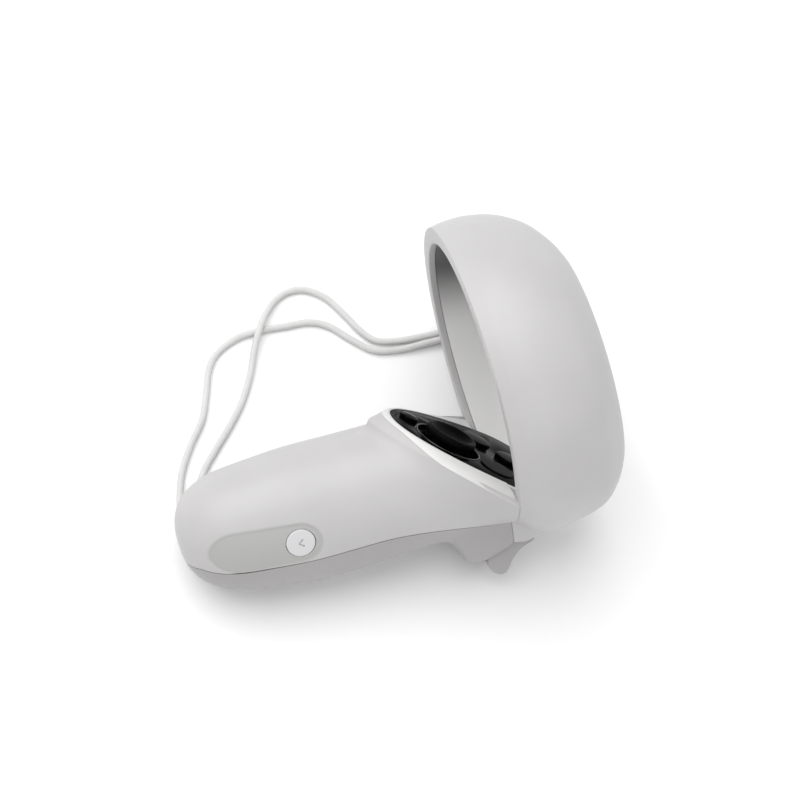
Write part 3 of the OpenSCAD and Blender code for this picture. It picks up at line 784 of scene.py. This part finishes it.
def ring_band(name, at, inner, outer, low, high, slot, finish):
    """A thin turned ring on the face, with a rounded top."""
    bend = np.linspace(0, math.pi, 9)
    mid, half = (inner + outer) / 2, (outer - inner) / 2
    profile = [[mid + half * math.cos(b), high + half * math.sin(b)] for b in bend]
    profile = [[outer, low]] + profile + [[inner, low]]
    sides = 96
    turn = np.arange(sides) * 2 * math.pi / sides
    points = np.concatenate([np.column_stack([r * np.cos(turn), r * np.sin(turn), 0 * turn + h])
                             for r, h in profile])
    return add(name, at_face(at)(points), grid_faces(len(profile), sides, True, True), ROOT, slot,
               finish)


ring_band("stick_well_rim", STICK_AT, WELL_R - 0.35, WELL_R + 0.12, -1.5, -0.02, "face_black",
          "face_trim")
thumb_rest = add("thumb_rest_pad", *lathe(rounded(5, 0, 0.4, 0.25, 0.08), at_face(REST_AT)),
                 ROOT, "soft_black")
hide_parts("thumb_rest")

CAP_R = 7.25
KNURLS, KNURL_DEPTH = 48, 0.012


def make_stick_cap():
    """A dished cap with a knurled edge, on a short collar."""
    def knurl(turn, radius):
        edge = radius > CAP_R - 0.35
        return np.where(edge, KNURL_DEPTH * np.cos(turn * KNURLS), 0) - KNURL_DEPTH
    profile = [[0.02, -1.6], [3, -1.6], [3, 0.5], [3.4, 0.62], [6.6, 0.62], [7.05, 0.8],
               [7.25, 1.2], [7.25, 2.3], [7.05, 2.75], [6.7, 2.97], [6.3, 2.95], [5.9, 2.7],
               [5.3, 2.25], [4.4, 1.85], [3.2, 1.55], [1.8, 1.4], [0.6, 1.35], [0.02, 1.34]]
    made = add("stick_cap_soft", *lathe(profile, at_face(STICK_AT), 192, knurl), "cap",
               "soft_black", crease=60)
    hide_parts("stick_cap")


make_stick_cap()

for name, at, radius, body in (("button_a", BUTTON_A_AT, BUTTON_R, "a_button"),
                               ("button_b", BUTTON_B_AT, BUTTON_R, "b_button"),
                               ("menu_button", MENU_AT, MENU_R, "menu")):
    key = add(name + "_key", *lathe(rounded(radius, -2, 0.85, 0.35, 0.2), at_face(at)), body,
              "gloss_black")
    add(name + "_flange", *lathe(rounded(radius + 0.6, -2.7, -1.9, 0.2), at_face(at)), body,
        "gloss_black")
    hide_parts(name)

# ---------------------------------------------------------------- ring


def ring_sweep(profile, guard, sides=360):
    """Closed profile of [x, radius] swept round the ring's dropping centre line."""
    turn = np.arange(sides) * 2 * math.pi / sides
    x, radius = np.array(profile, float).T
    centre = curve(x, RING_DROP)
    points = np.stack([
        np.broadcast_to(x, (sides, len(x))),
        np.cos(turn)[:, None] * radius,
        np.sin(turn)[:, None] * radius + centre], -1).reshape(-1, 3)
    return row(guarded(points) if guard else points), grid_faces(sides, len(x), True, True)


def corner(a, b, c, size, steps=4):
    """Rounds the corner b of a profile a, b, c."""
    a, b, c = (np.array(p, float) for p in (a, b, c))
    start, end = b + unit(a - b) * size, b + unit(c - b) * size
    u = np.linspace(0, 1, steps + 1)[:, None]
    return ((1 - u) ** 2 * start + 2 * u * (1 - u) * b + u ** 2 * end).tolist()


def make_ring():
    wall = 1.8
    xs = np.linspace(1, 31.2, 76)
    out = np.column_stack([xs, curve(xs, RING_RADII) - 0.08]).tolist()
    xi = np.linspace(29.4, wall, 34)
    inside = np.column_stack([xi, curve(xi, RING_RADII) - wall]).tolist()
    profile = (corner([0, 37], [0, RING_R], out[0], 0.3) + out
               + corner(out[-1], [31.95, 31], [31.95, 29], 0.35)
               + corner([31.95, 31], [31.95, 29], [30.2, 29.4], 0.3) + [[30.2, 29.4]] + inside
               + [[wall, 37.3]] + corner([wall, 37], [0, 37], [0, 38], 0.35))
    made = add("ring_outer_band", *ring_sweep(profile, True), ROOT, "shell_white", crease=30)
    bore = np.linspace(1.9, 29.9, 70)
    inner = curve(bore, BORE_RADII)
    shell = (np.column_stack([bore, inner]).tolist()
             + np.column_stack([bore, inner + np.where(bore > 29, 0.5, 1.2)])[::-1].tolist())
    window = add("ring_inner_window", *ring_sweep(shell, False), ROOT, "bore_white", crease=30)
    paint_bore_light_and_shade(window)
    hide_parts("ring_inner_shell")
    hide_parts("ring_outer_shell")
    return made


def paint_bore_light_and_shade(window):
    """Paints light and shade on the inner window: painted shade on the thumb side, growing paler down to the face
    as painted light.
    """
    at = (np.array([v.co for v in window.data.vertices]) - ORIGIN) @ GRIP_AXES / MM
    turn = np.degrees(np.arctan2(at[:, 2] + 2, np.abs(at[:, 1])))
    values = smooth((42 - turn) / 42)
    window.data.attributes.new("light", "FLOAT", "POINT").data.foreach_set("value", values)


ring = make_ring()

# ---------------------------------------------------------------- trigger and grip button

SLOT_HALF = 6.8


def slot_cutter():
    corners = corner([-13, -40], [-13, -70], [7.2, -70], 2) + [[7.2, -70], [7.2, -44], [-13, -44]]

    def place(points):
        u, v, h = points.T
        return row(np.column_stack([u, h, v]))
    return cutter(*prism(corners, -SLOT_HALF, SLOT_HALF, place))


cut(ring, slot_cutter(), crease=30)

GRIP_X, GRIP_A, GRIP_L, GRIP_W = -35, math.radians(-52), 21.8, 7.4


def rounded_box(length, width, power=5, steps=96):
    """Outline of a rounded rectangle as [u, v]."""
    t = np.arange(steps) * 2 * math.pi / steps
    return np.column_stack([
        np.sign(np.cos(t)) * np.abs(np.cos(t)) ** (2 / power) * length / 2,
        np.sign(np.sin(t)) * np.abs(np.sin(t)) ** (2 / power) * width / 2])


def on_handle(points):
    """[u, v, h] over the grip button's place, curved with the handle's wall."""
    u, v, h = np.asarray(points, float).T
    x = GRIP_X + u
    middle = body_reach(x, GRIP_A + 0 * x)
    a = GRIP_A - v / middle
    r = body_reach(x, a) + h
    return row(np.column_stack([x, r * np.cos(a), curve(x, SECTION_Z) + r * np.sin(a)]))


SCREW_X = (-66, -36)
screw_holes = [cutter(*prism(rounded_box(4, 4, 2, 48), -50, -30,
                             lambda p, x=x: row(p + [x, 0, 0]))) for x in SCREW_X]
cord_holes = []
for point in (CORD_OUT, CORD_IN):
    way = unit(CORD_WAY)
    side = unit(np.cross(way, [0, 0, 1]))
    axes = np.column_stack([side, np.cross(way, side), way])
    cord_holes.append(cutter(*prism(
        rounded_box(CORD_D + 0.5, CORD_D + 0.5, 2, 32), -6, 6,
        lambda p, at=point, axes=axes: (p @ axes.T + at) * MM)))
cut(lower, slot_cutter(),
    cutter(*prism(rounded_box(GRIP_L + 0.9, GRIP_W + 0.8), -6, 4, on_handle)),
    *screw_holes, *cord_holes)
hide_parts("lower_shell")


def make_grip_button():
    """A crowned pad that follows the handle's wall, with a skirt inside the opening."""
    levels = [(0.97, -1.8), (1, -1.7), (1, 0.1), (0.985, 0.3), (0.95, 0.44), (0.88, 0.52),
              (0.7, 0.56), (0.45, 0.58), (0.2, 0.58), (0.02, 0.58)]
    edge = rounded_box(GRIP_L, GRIP_W)
    rows = []
    for share, h in levels:
        inset = (1 - share) * GRIP_W / 2
        size = np.array([1 - inset * 2 / GRIP_L, share])
        rows.append(np.column_stack([edge * size, 0 * edge[:, 0] + h]))
    n = len(edge)
    faces = grid_faces(len(rows), n, close_columns=True)
    faces += [list(range(n)), list(range((len(rows) - 1) * n, len(rows) * n))]
    # Painted shade: the grip button takes the darker shell_grey finish
    made = add("grip_button_pad", on_handle(np.vstack(rows)), faces, "grip", "shell_grey")
    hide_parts("grip_button")


make_grip_button()

FIN = [[-6, -45.1], [-7.5, -49], [-8.25, -53.5], [-7.3, -56.6], [-5.6, -57.9], [-4.5, -58.1],
       [-3.3, -57.6], [-0.9, -54.5], [2.3, -51.9], [5.6, -50.7], [6.2, -49.9], [5.2, -49.2],
       [2, -47.6], [-0.4, -45.1]]


def closed_spline(points, per_span):
    points = np.array(points, float)
    n = len(points)
    made = []
    for i in range(n):
        a, b, c, d = (points[(i + k) % n] for k in (-1, 0, 1, 2))
        for u in np.arange(per_span) / per_span:
            made.append(0.5 * (2 * b + (c - a) * u + (2 * a - 5 * b + 4 * c - d) * u * u
                               + (3 * b - a - 3 * c + d) * u ** 3))
    return np.array(made)


def make_trigger():
    """The trigger's blade with rounded sides, and the web and hub that carry it."""
    blade = closed_spline(FIN, 8)
    centre = np.array([-2.2, -50.6])
    normal = (blade - centre) / np.linalg.norm(blade - centre, axis=1)[:, None]
    half, edge = 6.5, 0.8
    rows = []
    for b in np.linspace(-90, 90, 13):
        y = math.copysign(half - edge, b) + edge * math.sin(math.radians(b))
        rows.append((y, edge * (1 - math.cos(math.radians(b)))))
    rings = [np.column_stack([blade[:, 0] - normal[:, 0] * inset, 0 * blade[:, 0] + y,
                              blade[:, 1] - normal[:, 1] * inset]) for y, inset in rows]
    n = len(blade)
    faces = grid_faces(len(rings), n, close_columns=True)
    faces += [list(range(n)), list(range((len(rings) - 1) * n, len(rings) * n))]
    # Painted shade: the trigger's pieces take the darker shell_grey finish
    made = add("trigger_blade", row(np.vstack(rings)), faces, "trigger", "shell_grey", crease=50)
    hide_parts("trigger")

    def place(points):
        u, v, h = points.T
        return row(np.column_stack([u, h, v]))
    web = [[-5.8, -40.5], [-6.5, -46.5], [1.2, -46.5], [-0.2, -40.5]]
    add("trigger_web", *prism(web, -4, 4, place), "trigger", "shell_grey")
    hub = ring_profile(1.25, 3.0, 4.0)
    turn = np.arange(72) * 2 * math.pi / 72
    points = np.concatenate([np.column_stack([r * np.cos(turn), 0 * turn + y, r * np.sin(turn)])
                             for r, y in hub]) + TRIGGER_PIVOT
    add("trigger_hub", row(points), grid_faces(len(hub), 72, True, True), "trigger", "shell_grey")


def ring_profile(inner, outer, half):
    """Profile of a plain tube with eased edges, as [radius, place along]."""
    e = 0.2
    return [[inner, -half + e], [inner + e, -half], [outer - e, -half], [outer, -half + e],
            [outer, half - e], [outer - e, half], [inner + e, half], [inner, half - e]]


make_trigger()

# ---------------------------------------------------------------- cord lock

lock_low, lock_high = (np.array(c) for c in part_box("cord_lock"))
lock_size = lock_high - lock_low
lock_mid = (lock_low + lock_high) / 2


def make_cord_lock():
    """A soft-cornered block with three finger ridges, over the two runs of the cord."""
    steps, sides = 41, 64
    rings = []
    for k, u in enumerate(np.linspace(-1, 1, steps)):
        swell = (1 - abs(u) ** 6) ** (1 / 6) if abs(u) < 1 else 0
        size = 0.86 + 0.14 * swell
        ridge = 1 - 0.05 * (0.5 + 0.5 * math.cos(u * 5 * math.pi)) * (abs(u) < 0.62)
        edge = rounded_box(lock_size[1] * size, lock_size[2] * size * ridge, 4.5, sides)
        rings.append(np.column_stack([0 * edge[:, 0] + u * lock_size[0] / 2, edge]))
    faces = grid_faces(steps, sides, close_columns=True)
    faces += [list(range(sides)), list(range((steps - 1) * sides, steps * sides))]
    made = add("cord_lock_body", np.vstack(rings) + lock_mid, faces, "lock", "lock_grey")
    passage = rounded_box(0.0048, 0.0025, 4)
    cut(made, cutter(*prism(passage, -0.0075, 0.0075,
                            lambda p: np.column_stack([p[:, 2], p[:, 0], p[:, 1]]) + lock_mid)))
    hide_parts("cord_lock")
    low, high = (np.array(c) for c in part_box("lock_button"))
    base = (low + high) / 2
    radius, half = (high[0] - low[0]) / 2 / MM, (high[1] - low[1]) / 2 / MM
    button = add("cord_lock_button",
                 *lathe(rounded(radius, -half, half, 0.35, 0.0),
                        lambda p: np.column_stack([p[:, 0], p[:, 2], p[:, 1]]) * MM + base),
                 "lock_pin", "lock_grey")
    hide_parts("lock_button")
    return made, button


lock_pieces = make_cord_lock()

# ---------------------------------------------------------------- floor and light


def make_floor():
    mesh = bpy.data.meshes.new("floor")
    size = 4
    mesh.from_pydata([(-size, -size, 0), (size, -size, 0), (size, size, 0), (-size, size, 0)], [],
                     [(0, 1, 2, 3)])
    mesh.materials.append(surface("floor_white", (0.93, 0.93, 0.93), shade=0.995,
                                  rough=(0.8, 0.9), specular=0.1))
    floor = bpy.data.objects.new("floor", mesh)
    bpy.context.scene.collection.objects.link(floor)


def light(name, place, target, size, power):
    data = bpy.data.lights.new(name, "AREA")
    data.shape = "DISK"
    data.size = size
    data.energy = power
    lamp = bpy.data.objects.new(name, data)
    lamp.location = place
    lamp.rotation_euler = (Vector(target) - Vector(place)).to_track_quat("-Z", "Y").to_euler()
    bpy.context.scene.collection.objects.link(lamp)


make_floor()
TARGET = (0, 0, 0.04)
light("key", (-0.25, 0.45, 1.1), TARGET, 1.5, 14)
light("fill", (0.2, -0.9, 0.7), TARGET, 0.9, 2)
world = bpy.data.worlds.new("studio")
world.use_nodes = True
world.node_tree.nodes["Background"].inputs["Color"].default_value = (1, 1, 1, 1)
world.node_tree.nodes["Background"].inputs["Strength"].default_value = 0.62
bpy.context.scene.world = world
bpy.context.scene.view_settings.view_transform = "Standard"
